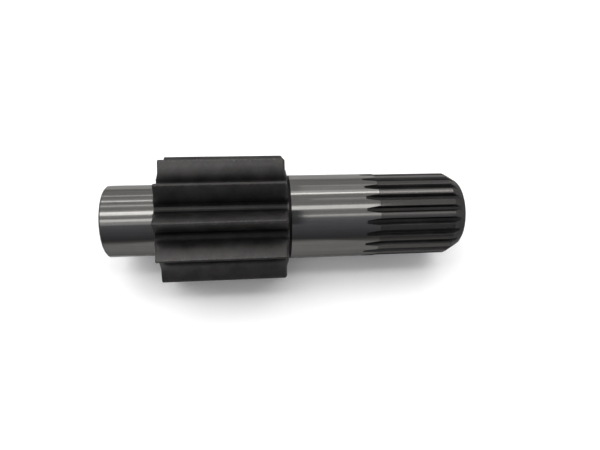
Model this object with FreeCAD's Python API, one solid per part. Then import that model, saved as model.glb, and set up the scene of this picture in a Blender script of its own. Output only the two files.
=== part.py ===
import FreeCAD, Part

import math
import os

# Pinion shaft: an eleven-tooth spur pinion cut in one piece with its shaft. A short bearing journal
# stands on one side, and on the other a longer journal that runs out into an involute spline with a
# tapered lead-in. It is one forging, so it is one solid.
#
# All sizes are millimetres. The shaft's axis is X, with the splined end towards +X. The origin is
# on the axis, midway along the gear teeth. One tooth stands straight up, so the shaft lies level on
# the tips of the two teeth below.

# Gear teeth
gear_teeth = 11
gear_module = 6.5
gear_pressure_angle = math.radians(20.0)
gear_shift = 0.42
gear_cutter_addendum = 1.25
gear_cutter_tip_radius = 2.4
gear_face_width = 84.4
tooth_end_chamfer = 1.3

# Thrust collars, turned on both ends of the gear before its teeth are cut through them
collar_foot_diameter = 77.0
collar_diameter = 67.0
collar_height = 1.4

# Short journal, towards -X
short_journal_diameter = 50.0
short_journal_length = 36.1
short_journal_edge_break = 1.0

# Long journal, towards +X
long_journal_diameter = 60.0
long_journal_length = 62.7

# Grinding reliefs, where both journals meet the collars
relief_width = 1.2
relief_depth = 0.4
relief_corner = 0.4

# Spline
spline_teeth = 22
spline_module = 2.5
spline_pressure_angle = math.radians(20.0)
spline_shift = 0.8
spline_tip_diameter = 59.2
spline_root_diameter = 54.0
spline_length = 52.0
spline_hob_radius = 34.0
spline_run_out = 10.1
spline_phase = math.radians(1.8)
spline_step_chamfer = 0.4

# Lead-in taper at the splined end
lead_in_length = 9.8
lead_in_angle = math.radians(30.0)
end_edge_break = 0.5

# Centre holes in both ends, which the shaft was ground between
centre_mouth_diameter = 13.2
centre_pilot_diameter = 6.3
centre_pilot_depth = 7.0
centre_angle = math.radians(60.0)

# How finely a formula is sampled for the curve that runs through it
flank_points = 9
fillet_points = 7
cut_clearance = 2.0

# Stations along the axis
gear_left = -gear_face_width / 2.0
gear_right = gear_face_width / 2.0
collar_left = gear_left - collar_height
collar_right = gear_right + collar_height
left_end = collar_left - short_journal_length
spline_start = collar_right + long_journal_length
lead_in_start = spline_start + spline_length
right_end = lead_in_start + lead_in_length

# Radii that follow from the driving dimensions
short_journal_radius = short_journal_diameter / 2.0
long_journal_radius = long_journal_diameter / 2.0
spline_tip_radius = spline_tip_diameter / 2.0
spline_root_radius = spline_root_diameter / 2.0
lead_in_end_radius = spline_tip_radius - lead_in_length * math.tan(lead_in_angle)
gear_pitch_radius = gear_module * gear_teeth / 2.0
gear_tip_radius = gear_pitch_radius + gear_module * (1.0 + gear_shift)
gear_root_radius = gear_pitch_radius - gear_module * (gear_cutter_addendum - gear_shift)

AXIS = FreeCAD.Vector(1.0, 0.0, 0.0)
ORIGIN = FreeCAD.Vector(0.0, 0.0, 0.0)


def polar(station, radius, angle):
    """A point at a station on the axis, with the angle measured from +Z towards +Y."""
    return FreeCAD.Vector(station, radius * math.sin(angle), radius * math.cos(angle))


def involute(angle):
    """The involute function of a pressure angle."""
    return math.tan(angle) - angle


def half_tooth_angle(radius, module, teeth, pressure_angle, shift):
    """Half the angle that an involute tooth takes at a radius."""
    pitch_radius = module * teeth / 2.0
    base_radius = pitch_radius * math.cos(pressure_angle)
    thickness = module * (math.pi / 2.0 + 2.0 * shift * math.tan(pressure_angle))
    local_angle = math.acos(min(1.0, base_radius / radius))
    return thickness / (2.0 * pitch_radius) + involute(pressure_angle) - involute(local_angle)


def gear_fillet():
    """The root fillet that the rack-shaped cutter's rounded corner leaves.

    Gives pairs of radius and angle from the middle of the tooth space, from the root circle out to
    the foot of the involute.
    """
    corner_depth = gear_module * (gear_cutter_addendum - gear_shift) - gear_cutter_tip_radius
    corner_offset = (
        math.pi * gear_module / 4.0
        - (gear_module * gear_cutter_addendum - gear_cutter_tip_radius) * math.tan(gear_pressure_angle)
        - gear_cutter_tip_radius / math.cos(gear_pressure_angle)
    )
    last = corner_depth / math.tan(gear_pressure_angle)
    pairs = []
    for index in range(fillet_points):
        along = last * index / (fillet_points - 1)
        reach = math.hypot(along, corner_depth)
        across = along * (1.0 + gear_cutter_tip_radius / reach)
        height = gear_pitch_radius - corner_depth * (1.0 + gear_cutter_tip_radius / reach)
        turn = (along - corner_offset) / gear_pitch_radius
        pairs.append((math.hypot(across, height), math.atan2(across, height) - turn))
    return pairs


def curve(points):
    """One smooth edge through a few points."""
    spline = Part.BSplineCurve()
    spline.interpolate(points)
    return spline.toShape()


def gear_wire(station, chamfer):
    """The outline of all teeth at a station, with flanks and tips set back by a chamfer."""
    fillet = gear_fillet()
    base_radius = gear_pitch_radius * math.cos(gear_pressure_angle)
    form_radius = fillet[-1][0]
    tip_radius = gear_tip_radius - chamfer
    set_back = chamfer / base_radius
    pitch_angle = 2.0 * math.pi / gear_teeth

    flank = []
    for index in range(flank_points):
        radius = form_radius + (tip_radius - form_radius) * index / (flank_points - 1)
        half = half_tooth_angle(radius, gear_module, gear_teeth, gear_pressure_angle, gear_shift)
        flank.append((radius, half - set_back))
    foot_angle = flank[0][1]
    root = [(radius, foot_angle + fillet[-1][1] - angle) for radius, angle in fillet]

    edges = []
    for tooth in range(gear_teeth):
        middle = tooth * pitch_angle
        left_root = [polar(station, radius, middle - angle) for radius, angle in root]
        left_flank = [polar(station, radius, middle - angle) for radius, angle in flank]
        right_flank = [polar(station, radius, middle + angle) for radius, angle in reversed(flank)]
        right_root = [polar(station, radius, middle + angle) for radius, angle in reversed(root)]
        next_root = polar(station, gear_root_radius, middle + pitch_angle - root[0][1])
        tip = polar(station, tip_radius, middle)
        valley = polar(station, gear_root_radius, middle + pitch_angle / 2.0)
        edges.append(curve(left_root))
        edges.append(curve(left_flank))
        edges.append(Part.Arc(left_flank[-1], tip, right_flank[0]).toShape())
        edges.append(curve(right_flank))
        edges.append(curve(right_root))
        edges.append(Part.Arc(right_root[-1], valley, next_root).toShape())
    return Part.Wire(edges)


def turned(points):
    """A turned solid from its half outline, given as pairs of station and radius."""
    corners = [FreeCAD.Vector(station, 0.0, radius) for station, radius in points]
    outline = Part.makePolygon(corners + corners[:1])
    return Part.Face(outline).revolve(ORIGIN, AXIS, 360.0)


def relief(face, side, journal_radius):
    """Outline of a grinding relief, from the journal to the collar's face and in to the axis."""
    outer = face + side * relief_width
    floor_radius = journal_radius - relief_depth
    return [
        (outer, journal_radius),
        (outer - side * relief_depth, floor_radius),
        (face + side * relief_corner, floor_radius),
        (face, floor_radius + relief_corner),
        (face, 0.0),
    ]


def make_short_end():
    """The short journal, turned and ground."""
    outline = [
        (left_end, 0.0),
        (left_end, short_journal_radius - short_journal_edge_break),
        (left_end + short_journal_edge_break, short_journal_radius),
    ]
    return turned(outline + relief(collar_left, -1.0, short_journal_radius))


def make_long_end():
    """The long journal, the blank of the spline and the lead-in taper, as turned."""
    outline = [
        (right_end, 0.0),
        (right_end, lead_in_end_radius - end_edge_break),
        (right_end - end_edge_break, lead_in_end_radius + end_edge_break * math.tan(lead_in_angle)),
        (lead_in_start, spline_tip_radius),
        (spline_start, spline_tip_radius),
        (spline_start - spline_step_chamfer, long_journal_radius),
    ]
    return turned(outline + relief(collar_right, 1.0, long_journal_radius))


def gear_section(start, start_chamfer, end, end_chamfer):
    """The teeth between two stations, each with its own set-back, solid down to the axis."""
    return Part.makeLoft([gear_wire(start, start_chamfer), gear_wire(end, end_chamfer)], True, True)


def make_collar(gear_face, side):
    """A thrust collar that tapers out of one end of the gear, cut through by the tooth spaces."""
    rim = gear_face + side * collar_height
    radius = collar_diameter / 2.0
    blank = turned([(gear_face, 0.0), (gear_face, collar_foot_diameter / 2.0), (rim, radius), (rim, 0.0)])
    return blank.common(gear_section(gear_face, tooth_end_chamfer, rim, tooth_end_chamfer))


def make_gear():
    """The teeth with their chamfered ends and the collars, solid down to the axis."""
    inner_left = gear_left + tooth_end_chamfer
    inner_right = gear_right - tooth_end_chamfer
    middle = gear_section(inner_left, 0.0, inner_right, 0.0)
    others = [
        gear_section(gear_left, tooth_end_chamfer, inner_left, 0.0),
        gear_section(inner_right, 0.0, gear_right, tooth_end_chamfer),
        make_collar(gear_left, -1.0),
        make_collar(gear_right, 1.0),
    ]
    return middle.fuse(others).removeSplitter()


def spline_space_face(station):
    """The section of one spline space, open past the tips, around +Z."""
    pitch_angle = 2.0 * math.pi / spline_teeth
    outer_radius = long_journal_radius + cut_clearance
    left = []
    right = []
    for index in range(flank_points):
        radius = spline_root_radius + (outer_radius - spline_root_radius) * index / (flank_points - 1)
        tooth = half_tooth_angle(radius, spline_module, spline_teeth, spline_pressure_angle, spline_shift)
        half = pitch_angle / 2.0 - tooth
        left.append(polar(station, radius, -half))
        right.append(polar(station, radius, half))
    floor = Part.Arc(left[0], polar(station, spline_root_radius, 0.0), right[0]).toShape()
    mouth = Part.makeLine(right[-1], left[-1])
    return Part.Face(Part.Wire([floor, curve(right), mouth, curve(left)]))


def make_spline_cutter():
    """One spline space, with the curved run-out that the hob leaves in the long journal."""
    depth = long_journal_radius - spline_root_radius
    rise_length = math.sqrt(2.0 * spline_hob_radius * depth - depth**2)
    full_depth_station = spline_start - spline_run_out + rise_length
    section = spline_space_face(full_depth_station)
    full_depth = section.extrude(AXIS * (right_end + cut_clearance - full_depth_station))
    hob_centre = FreeCAD.Vector(full_depth_station, 0.0, spline_root_radius + spline_hob_radius)
    run_out = section.revolve(hob_centre, FreeCAD.Vector(0.0, 1.0, 0.0), 60.0)
    return full_depth, run_out


def cut_splines(blank):
    """Cuts every spline space, evenly spaced from the spline's own phase."""
    pitch_angle = 360.0 / spline_teeth
    pieces = make_spline_cutter()
    tools = []
    for index in range(spline_teeth):
        turn = -math.degrees(spline_phase) + (index + 0.5) * pitch_angle
        for piece in pieces:
            tool = piece.copy()
            tool.rotate(ORIGIN, AXIS, turn)
            tools.append(tool)
    return blank.cut(tools)


def make_centre_hole(face_station, direction):
    """A 60 degree centre with its pilot, drilled inwards from an end face."""
    mouth = centre_mouth_diameter / 2.0
    pilot = centre_pilot_diameter / 2.0
    cone_depth = (mouth - pilot) / math.tan(centre_angle / 2.0)
    bottom = cone_depth + centre_pilot_depth
    depths = [
        (-cut_clearance, 0.0),
        (-cut_clearance, mouth),
        (0.0, mouth),
        (cone_depth, pilot),
        (bottom, pilot),
        (bottom + pilot / math.tan(centre_angle), 0.0),
    ]
    return turned([(face_station + direction * depth, radius) for depth, radius in depths])


def make_pinion_shaft():
    """The whole part: gear teeth, journals, spline and centre holes."""
    shaft = make_gear().fuse([make_short_end(), cut_splines(make_long_end())])
    centres = [make_centre_hole(left_end, 1.0), make_centre_hole(right_end, -1.0)]
    return shaft.cut(centres)


def main():
    """Writes the part, one file for its single solid."""
    os.makedirs("parts", exist_ok=True)
    pinion = make_pinion_shaft()
    solid = pinion.Solids[0]
    centre = solid.CenterOfMass
    print("solids", len(pinion.Solids), "valid", solid.isValid(), "faces", len(solid.Faces))
    print("volume cm3", round(solid.Volume / 1000.0, 1), "centre of mass x", round(centre.x, 2))
    print("gear radii", round(gear_root_radius, 2), round(gear_tip_radius, 2), "length", right_end - left_end)
    solid.exportStep("parts/pinion_shaft.step")


main()
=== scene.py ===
"""Looks of a pinion shaft: an eleven-tooth pinion with ground journals and a splined end.

All sizes in this file are millimetres, and meshes are scaled to metres when they are made. The shaft's
axis is X with the splined end towards +X, +Z is up, and the origin is midway along the gear teeth.
"""

import logging
import math
from dataclasses import dataclass, field
from enum import Enum

import bmesh
import bpy
import numpy as np
from mathutils import Matrix, Vector


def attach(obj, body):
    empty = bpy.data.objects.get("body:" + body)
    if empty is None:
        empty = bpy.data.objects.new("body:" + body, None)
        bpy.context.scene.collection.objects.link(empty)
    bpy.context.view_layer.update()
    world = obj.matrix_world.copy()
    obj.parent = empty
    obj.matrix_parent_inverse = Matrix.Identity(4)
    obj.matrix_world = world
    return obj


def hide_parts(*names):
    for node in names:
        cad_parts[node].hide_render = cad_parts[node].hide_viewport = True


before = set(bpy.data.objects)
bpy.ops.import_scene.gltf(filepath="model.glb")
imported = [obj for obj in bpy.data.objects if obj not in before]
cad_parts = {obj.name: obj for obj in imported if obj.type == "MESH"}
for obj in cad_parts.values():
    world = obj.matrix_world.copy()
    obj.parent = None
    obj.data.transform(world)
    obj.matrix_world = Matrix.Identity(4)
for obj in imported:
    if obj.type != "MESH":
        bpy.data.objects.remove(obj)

LOG = logging.getLogger("pinion_shaft")
MM = 0.001
NODE = "pinion_shaft"
# A gear tooth has 44 columns of points and a spline tooth 22, so both sets of teeth need this many all round.
COLUMNS = 484
# A length too short to see, for telling places apart.
HAIR = 0.0001
# Edges that turn by more than this stay sharp.
SHARP_ANGLE = math.radians(18.0)
# The point attribute that says how a place has worn, and below zero how much painted shade darkens it.
WEAR_AND_SHADE = "wear_and_shade"
# The colour sockets of a mix node: both inputs and the result.
MIX_A, MIX_B, MIX_RESULT = 6, 7, 2
# A lamp's brightness here is a quarter of its power over its area. Cycles gives the lamp a radiance of its power
# over pi times its area, which is 1.27 times that brightness.
POWER_PER_BRIGHTNESS = 4.0
WHITE = "#ffffff"


class Finish(Enum):
    """Which surface treatment a part of the shaft's skin has."""

    HEAT_TREATED = 0
    GROUND = 1
    TURNED = 2
    FACED = 3


class Side(Enum):
    """The two ends of the shaft, as signs along X."""

    SHORT = -1.0
    LONG = 1.0


def linear_colour(hex_colour: str) -> tuple[float, float, float, float]:
    """Turns an sRGB hex colour into linear RGBA.

    Args:
        hex_colour: Six hexadecimal digits after a hash sign.

    Returns:
        The linear red, green and blue with an alpha of 1.
    """
    channels = [int(hex_colour[index : index + 2], 16) / 255.0 for index in (1, 3, 5)]
    linear = [c / 12.92 if c <= 0.04045 else ((c + 0.055) / 1.055) ** 2.4 for c in channels]
    return (linear[0], linear[1], linear[2], 1.0)


def grey(level: float) -> tuple[float, float, float, float]:
    """A linear grey with an alpha of 1."""
    return (level, level, level, 1.0)


def pattern_scale(size: float) -> float:
    """The scale of a pattern whose features are this many millimetres across."""
    return 1.0 / (size * MM)


def span(side: str, limits: tuple[float, float]) -> dict[str, float]:
    """The settings of one side of a map range, From or To."""
    return {f"{side} Min": limits[0], f"{side} Max": limits[1]}


def empty_material(name: str) -> tuple[bpy.types.Material, bpy.types.NodeTree]:
    """Starts a material that has no nodes yet.

    Args:
        name: The material's name.

    Returns:
        The material and its node tree.
    """
    material = bpy.data.materials.new(name)
    material.use_nodes = True
    material.node_tree.nodes.clear()
    return material, material.node_tree


def add_object(name: str, data: bpy.types.ID) -> bpy.types.Object:
    """Adds an object to the scene.

    Args:
        name: The object's name.
        data: Its mesh, lamp or camera.

    Returns:
        The object.
    """
    item = bpy.data.objects.new(name, data)
    bpy.context.scene.collection.objects.link(item)
    return item


def add_node(
    tree: bpy.types.NodeTree, kind: str, settings: dict | None = None, links: dict | None = None
) -> bpy.types.Node:
    """Adds one shader node with its settings and incoming links.

    Args:
        tree: The node tree that gets the node.
        kind: The node's type name.
        settings: Attribute names, or input names and indices, with their values.
        links: Input names or indices with the output sockets that feed them.

    Returns:
        The new node.
    """
    node = tree.nodes.new(kind)
    for key, value in (settings or {}).items():
        if isinstance(key, str) and hasattr(node, key):
            setattr(node, key, value)
        else:
            node.inputs[key].default_value = value
    for key, socket in (links or {}).items():
        tree.links.new(socket, node.inputs[key])
    return node


@dataclass
class Skin:
    """A closed skin, laid as rings of points round the shaft's axis, each with as many points."""

    points: list[np.ndarray] = field(default_factory=list)
    finishes: list[np.ndarray] = field(default_factory=list)
    wear_and_shade_values: list[np.ndarray] = field(default_factory=list)

    def add_ring(
        self,
        stations: np.ndarray | float,
        radii: np.ndarray | float,
        angles: np.ndarray,
        finish: Finish | np.ndarray,
        wear_and_shade: np.ndarray | float = 0.0,
    ) -> None:
        """Adds a ring, joined to the one before.

        Args:
            stations: Places along X.
            radii: Distances from the axis.
            angles: Angles from +Z towards +Y.
            finish: The finish of the faces between this ring and the one before, one for all or one a column.
            wear_and_shade: How the points have worn, up to 1 for an edge rubbed bright, and below zero how much painted
                shade darkens them, down to -1 for the darkest corner.
        """
        ring = np.empty((COLUMNS, 3))
        ring[:, 0] = stations
        ring[:, 1] = radii * np.sin(angles)
        ring[:, 2] = radii * np.cos(angles)
        self.points.append(ring)
        values = finish.value if isinstance(finish, Finish) else finish
        self.finishes.append(np.broadcast_to(np.asarray(values, dtype=int), (COLUMNS,)).copy())
        self.wear_and_shade_values.append(np.broadcast_to(np.asarray(wear_and_shade, dtype=float), (COLUMNS,)).copy())

    def build(self, name: str, weld: float) -> bpy.types.Object:
        """Makes the mesh object, in metres.

        Args:
            name: The object's name.
            weld: Points nearer than this are made one, in millimetres.

        Returns:
            The object, linked to the scene.
        """
        vertices = np.concatenate(self.points) * MM
        column = np.arange(COLUMNS)
        following = (column + 1) % COLUMNS
        quads = []
        for index in range(1, len(self.points)):
            before = (index - 1) * COLUMNS
            after = index * COLUMNS
            quads.append(np.stack([before + column, after + column, after + following, before + following], axis=1))
        mesh = bpy.data.meshes.new(name)
        mesh.from_pydata(vertices.tolist(), [], np.concatenate(quads).tolist())
        mesh.polygons.foreach_set("material_index", np.concatenate(self.finishes[1:]).astype(np.int32))
        worn = mesh.attributes.new(WEAR_AND_SHADE, "FLOAT", "POINT")
        worn.data.foreach_set("value", np.concatenate(self.wear_and_shade_values).astype(np.float32))
        self.weld(mesh, weld)
        return add_object(name, mesh)

    @staticmethod
    def weld(mesh: bpy.types.Mesh, distance: float) -> None:
        """Makes points that lie together one, and takes out faces without area.

        Args:
            mesh: The mesh to clean.
            distance: The welding distance in millimetres.
        """
        work = bmesh.new()
        work.from_mesh(mesh)
        bmesh.ops.remove_doubles(work, verts=work.verts, dist=distance * MM)
        bmesh.ops.dissolve_degenerate(work, edges=work.edges, dist=distance * MM)
        bmesh.ops.recalc_face_normals(work, faces=work.faces)
        work.to_mesh(mesh)
        work.free()
        mesh.polygons.foreach_set("use_smooth", np.ones(len(mesh.polygons), dtype=bool))
        mesh.set_sharp_from_angle(angle=SHARP_ANGLE)
        Skin.part_finishes(mesh)

    @staticmethod
    def part_finishes(mesh: bpy.types.Mesh) -> None:
        """Keeps the shading from running over from one finish to the next.

        Args:
            mesh: The mesh, with a material index on each face.
        """
        sides = {}
        for face in mesh.polygons:
            for key in face.edge_keys:
                sides.setdefault(key, set()).add(face.material_index)
        for edge in mesh.edges:
            if len(sides[edge.key]) > 1:
                edge.use_edge_sharp = True

    @staticmethod
    def true_up_cylinders(piece: bpy.types.Object) -> None:
        """Shades the ground journals as true cylinders, however their faces are cut.

        Args:
            piece: The skin, with a modifier that weights its normals.
        """
        graph = bpy.context.evaluated_depsgraph_get()
        shaded = piece.evaluated_get(graph).to_mesh()
        normals = np.empty(len(shaded.loops) * 3, dtype=np.float32)
        shaded.corner_normals.foreach_get("vector", normals)
        normals = normals.reshape(-1, 3)
        mesh = piece.data
        corners = np.empty(len(mesh.loops), dtype=np.int32)
        mesh.loops.foreach_get("vertex_index", corners)
        places = np.empty(len(mesh.vertices) * 3, dtype=np.float32)
        mesh.vertices.foreach_get("co", places)
        radial = places.reshape(-1, 3)[corners] * np.array([0.0, 1.0, 1.0])
        radial /= np.maximum(np.linalg.norm(radial, axis=1, keepdims=True), 1e-9)
        totals = np.empty(len(mesh.polygons), dtype=np.int32)
        kinds = np.empty(len(mesh.polygons), dtype=np.int32)
        mesh.polygons.foreach_get("loop_total", totals)
        mesh.polygons.foreach_get("material_index", kinds)
        ground = np.repeat(kinds, totals) == Finish.GROUND.value
        normals[ground] = radial[ground]
        piece.modifiers.clear()
        mesh.normals_split_custom_set(normals.tolist())


def bend(start: tuple[float, float], corner: tuple[float, float], end: tuple[float, float], count: int) -> list:
    """Points on a soft bend between two places, drawn towards a corner.

    Args:
        start: The first place.
        corner: The corner that the bend rounds off.
        end: The last place.
        count: How many points there are, with both ends.

    Returns:
        The points as pairs.
    """
    pairs = []
    for index in range(count):
        t = index / (count - 1)
        weights = ((1.0 - t) ** 2, 2.0 * t * (1.0 - t), t * t)
        pairs.append(tuple(sum(w * p[axis] for w, p in zip(weights, (start, corner, end))) for axis in (0, 1)))
    return pairs


def between(start: float, end: float, shares: tuple[float, ...]) -> list[float]:
    """Places on the way from a start to an end, at these shares of it."""
    return [start + (end - start) * share for share in shares]


def even_angles(phase: float) -> np.ndarray:
    """Evenly spaced angles for a plain ring, one a column, from this first one."""
    return phase + np.arange(COLUMNS) * (2.0 * math.pi / COLUMNS)


@dataclass(frozen=True)
class Involute:
    """The flank of an involute tooth."""

    teeth: int
    module: float
    shift: float
    pressure_angle: float = math.radians(20.0)

    @property
    def pitch_radius(self) -> float:
        """The pitch circle's radius."""
        return self.module * self.teeth / 2.0

    @property
    def base_radius(self) -> float:
        """The base circle's radius."""
        return self.pitch_radius * math.cos(self.pressure_angle)

    def half_angle(self, radius: float) -> float:
        """Half the angle that the tooth takes at a radius.

        Args:
            radius: Distance from the axis.

        Returns:
            The angle in radians.
        """
        thickness = self.module * (math.pi / 2.0 + 2.0 * self.shift * math.tan(self.pressure_angle))
        local = math.acos(min(1.0, self.base_radius / radius))
        gain = (math.tan(self.pressure_angle) - self.pressure_angle) - (math.tan(local) - local)
        return thickness / (2.0 * self.pitch_radius) + gain


@dataclass
class GearTeeth:
    """The pinion's teeth with their softened ends and the thrust collars.

    The chamfers are those of the short and of the long side. The tip relief slims each flank from where the
    involute starts to the tip, and less of it is left where the ends are cut back. The root's painted shade says
    how much a flank is darkened at each height over the root circle, painted shade that stands in for the shade
    down in the roots. The points along fillet, flank, corner and crest add up to a tooth's 44 columns.
    """

    flank: Involute = field(default_factory=lambda: Involute(11, 6.5, 0.42))
    cutter_addendum: float = 1.25
    cutter_tip_radius: float = 2.4
    face_width: float = 84.4
    end_chamfers: tuple[float, float] = (0.5, 1.3)
    tip_relief: float = 0.45
    relief_lost: float = 0.5
    edge_softness: float = 0.2
    tip_corner: float = 0.3
    narrowest_crest: float = 0.3
    fillet_points: int = 7
    flank_points: int = 9
    corner_points: int = 4
    crest_shares: tuple[float, ...] = (0.66, 0.33, 0.0)
    collar_foot_radius: float = 38.5
    collar_radius: float = 33.5
    collar_height: float = 1.4
    collar_steepness: float = 1.5
    collar_lead: float = 2.0
    collar_rings: int = 9
    collar_brow: float = 0.3
    collar_gap: float = 0.1
    end_margin: float = 0.6
    middle_rings: int = 7
    # How much painted shade darkens a flank at each height over the root circle, as pairs of height and share.
    root_painted_shade: tuple[tuple[float, float], ...] = (
        (0.0, 0.5), (0.05, 0.5), (0.25, 0.75), (1.0, 0.65), (1.7, 0.15), (2.4, 0.0)
    )
    # How much painted shade darkens the collars' faces beside the reliefs.
    collar_painted_shade: float = 0.15
    tip_rub: float = 0.7
    end_rub: float = 1.0

    @property
    def tip_radius(self) -> float:
        """The tip circle's radius."""
        return self.flank.pitch_radius + self.flank.module * (1.0 + self.flank.shift)

    @property
    def collar_face(self) -> float:
        """How far both collars' faces stand from the middle of the teeth."""
        return self.face_width / 2.0 + self.collar_height

    def end_chamfer(self, side: Side) -> float:
        """How far the teeth's ends are chamfered on a side."""
        return self.end_chamfers[side is Side.LONG]

    def root_fillet(self, count: int) -> list[tuple[float, float]]:
        """The fillet that the cutter's rounded corner leaves at a tooth's root.

        Args:
            count: How many points there are.

        Returns:
            Pairs of radius and angle, the angle growing from the root circle to the flank.
        """
        module = self.flank.module
        pressure = self.flank.pressure_angle
        depth = module * (self.cutter_addendum - self.flank.shift) - self.cutter_tip_radius
        offset = (
            math.pi * module / 4.0
            - (module * self.cutter_addendum - self.cutter_tip_radius) * math.tan(pressure)
            - self.cutter_tip_radius / math.cos(pressure)
        )
        pairs = []
        for index in range(count):
            along = depth / math.tan(pressure) * index / (count - 1)
            reach = 1.0 + self.cutter_tip_radius / math.hypot(along, depth)
            across = along * reach
            height = self.flank.pitch_radius - depth * reach
            turn = (along - offset) / self.flank.pitch_radius
            pairs.append((math.hypot(across, height), math.atan2(across, height) - turn))
        return pairs

    def half_tooth(self, set_back: float) -> tuple[np.ndarray, np.ndarray]:
        """Half a tooth's outline, from the middle of the space to the middle of the tip.

        Args:
            set_back: How far tip and flank are cut back, as by the chamfer on the teeth's ends.

        Returns:
            Radii, and angles from the middle of the tooth.
        """
        fillet = self.root_fillet(self.fillet_points)
        form_radius = fillet[-1][0]
        tip = self.tip_radius - set_back
        turn = set_back / self.flank.base_radius
        slimming = self.tip_relief * (1.0 - self.relief_lost * set_back / max(self.end_chamfers))
        foot = self.flank.half_angle(form_radius) - turn
        root = [(radius, foot + fillet[-1][1] - angle) for radius, angle in fillet]
        valley = math.pi / self.flank.teeth
        outline = [(root[0][0], valley), (root[0][0], (valley + root[0][1]) / 2.0)] + root
        for radius in np.linspace(form_radius, tip - self.tip_corner, self.flank_points)[1:]:
            relief = slimming * (radius - form_radius) / (tip - form_radius)
            outline.append((radius, self.flank.half_angle(radius) - turn - relief / radius))
        edge_angle = self.flank.half_angle(tip) - turn - slimming / tip
        tip_angle = max(edge_angle - self.tip_corner / tip, self.narrowest_crest * edge_angle)
        outline += bend(outline[-1], (tip, edge_angle), (tip, tip_angle), self.corner_points)[1:]
        outline += [(tip, tip_angle * share) for share in self.crest_shares]
        radii, angles = zip(*outline)
        return np.array(radii), np.array(angles)

    def outline(self, set_back: float) -> tuple[np.ndarray, np.ndarray]:
        """The outline of all teeth.

        Args:
            set_back: How far tips and flanks are cut back.

        Returns:
            Radii, and angles from +Z towards +Y.
        """
        radii, angles = self.half_tooth(set_back)
        one_radii = np.concatenate([radii, radii[-2:0:-1]])
        one_angles = np.concatenate([-angles, angles[-2:0:-1]])
        pitch = 2.0 * math.pi / self.flank.teeth
        all_angles = [one_angles + tooth * pitch for tooth in range(self.flank.teeth)]
        return np.tile(one_radii, self.flank.teeth), np.concatenate(all_angles)

    def wear_and_shade(self, radii: np.ndarray, set_back: float) -> np.ndarray:
        """How the outline's points have worn, bright on the tips' edges, and the painted shade that darkens them down
        in the roots.

        Args:
            radii: The outline's radii.
            set_back: How far tips and flanks are cut back.

        Returns:
            One value a point.
        """
        tip = self.tip_radius - set_back
        edge = (radii > tip - self.tip_corner - HAIR) & (radii < tip - HAIR)
        root = self.root_fillet(2)[0][0]
        # Painted shade darkens the roots, most of all a little way above the root circle.
        painted_shade = np.interp(radii - root, *zip(*self.root_painted_shade))
        return np.where(edge, self.tip_rub, -painted_shade)

    def collar_rise(self, radii: np.ndarray) -> np.ndarray:
        """How far the end stands proud of the teeth's face at each radius.

        Args:
            radii: Distances from the axis.

        Returns:
            The heights.
        """
        share = (self.collar_foot_radius - radii) / (self.collar_foot_radius - self.collar_radius)
        return self.collar_height * np.clip(share, 0.0, 1.0) ** self.collar_steepness

    def end_rings(self, side: Side, inner_radius: float) -> list[tuple[np.ndarray, ...]]:
        """The rings of one end, from the flanks out round the chamfer and in over the collar.

        Args:
            side: Which end it is.
            inner_radius: Where the collar meets the relief.

        Returns:
            Stations, radii, angles, and wear and painted shade of each ring, from the flanks inwards.
        """
        soft = self.edge_softness
        slope = soft / math.sqrt(2.0)
        chamfer = self.end_chamfer(side)
        foot = (chamfer - slope, chamfer - slope)
        profile = bend((-soft, 0.0), (0.0, 0.0), (slope, slope), self.corner_points)
        profile += bend(foot, (chamfer, chamfer), (chamfer, chamfer + soft), self.corner_points)
        face = self.face_width / 2.0
        rings = []
        for along, set_back in profile:
            radii, angles = self.outline(set_back)
            wear_and_shade = self.wear_and_shade(radii, set_back)
            if set_back > chamfer - 1.5 * slope:
                wear_and_shade = np.maximum(wear_and_shade, self.end_rub)
            rings.append((side.value * (face - chamfer + along + self.collar_rise(radii)), radii, angles, wear_and_shade))
        rim = self.collar_radius
        limits = np.linspace(self.collar_foot_radius + self.collar_lead, rim, self.collar_rings).tolist()
        for limit in limits + [rim - self.collar_brow, inner_radius + self.collar_gap]:
            clamped = np.minimum(radii, limit)
            # The collars' faces get a little painted shade.
            rings.append((side.value * (face + self.collar_rise(clamped)), clamped, angles, -self.collar_painted_shade))
        return rings

    def lay(self, skin: Skin, inner_radii: tuple[float, float]) -> None:
        """Lays the whole gear into the skin, from the short side to the long side.

        Args:
            skin: The skin to add to.
            inner_radii: Where the collars meet the reliefs, short side first.
        """
        for stations, radii, angles, wear_and_shade in reversed(self.end_rings(Side.SHORT, inner_radii[0])):
            skin.add_ring(stations, radii, angles, Finish.HEAT_TREATED, wear_and_shade)
        radii, angles = self.outline(0.0)
        first, last = (
            side.value * (self.face_width / 2.0 - self.end_chamfer(side) - self.end_margin) for side in Side
        )
        for station in np.linspace(first, last, self.middle_rings):
            skin.add_ring(station, radii, angles, Finish.HEAT_TREATED, self.wear_and_shade(radii, 0.0))
        for stations, radii, angles, wear_and_shade in self.end_rings(Side.LONG, inner_radii[1]):
            skin.add_ring(stations, radii, angles, Finish.HEAT_TREATED, wear_and_shade)


@dataclass(frozen=True)
class CentreHole:
    """A 60 degree centre with its pilot and a softened mouth."""

    mouth_radius: float = 6.6
    mouth_softening: float = 0.25
    mouth_softening_depth: float = 0.12
    pilot_radius: float = 3.15
    pilot_depth: float = 7.0
    half_angle: float = math.radians(30.0)
    drill_half_angle: float = math.radians(60.0)

    def profile(self) -> list[tuple[float, float]]:
        """Pairs of depth and radius, from the mouth to the point."""
        cone = (self.mouth_radius - self.pilot_radius) / math.tan(self.half_angle)
        bottom = cone + self.pilot_depth
        point = bottom + self.pilot_radius / math.tan(self.drill_half_angle)
        return [
            (0.0, self.mouth_radius + self.mouth_softening),
            (self.mouth_softening_depth, self.mouth_radius),
            (cone, self.pilot_radius),
            (bottom, self.pilot_radius),
            (point, 0.0),
        ]


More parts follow.
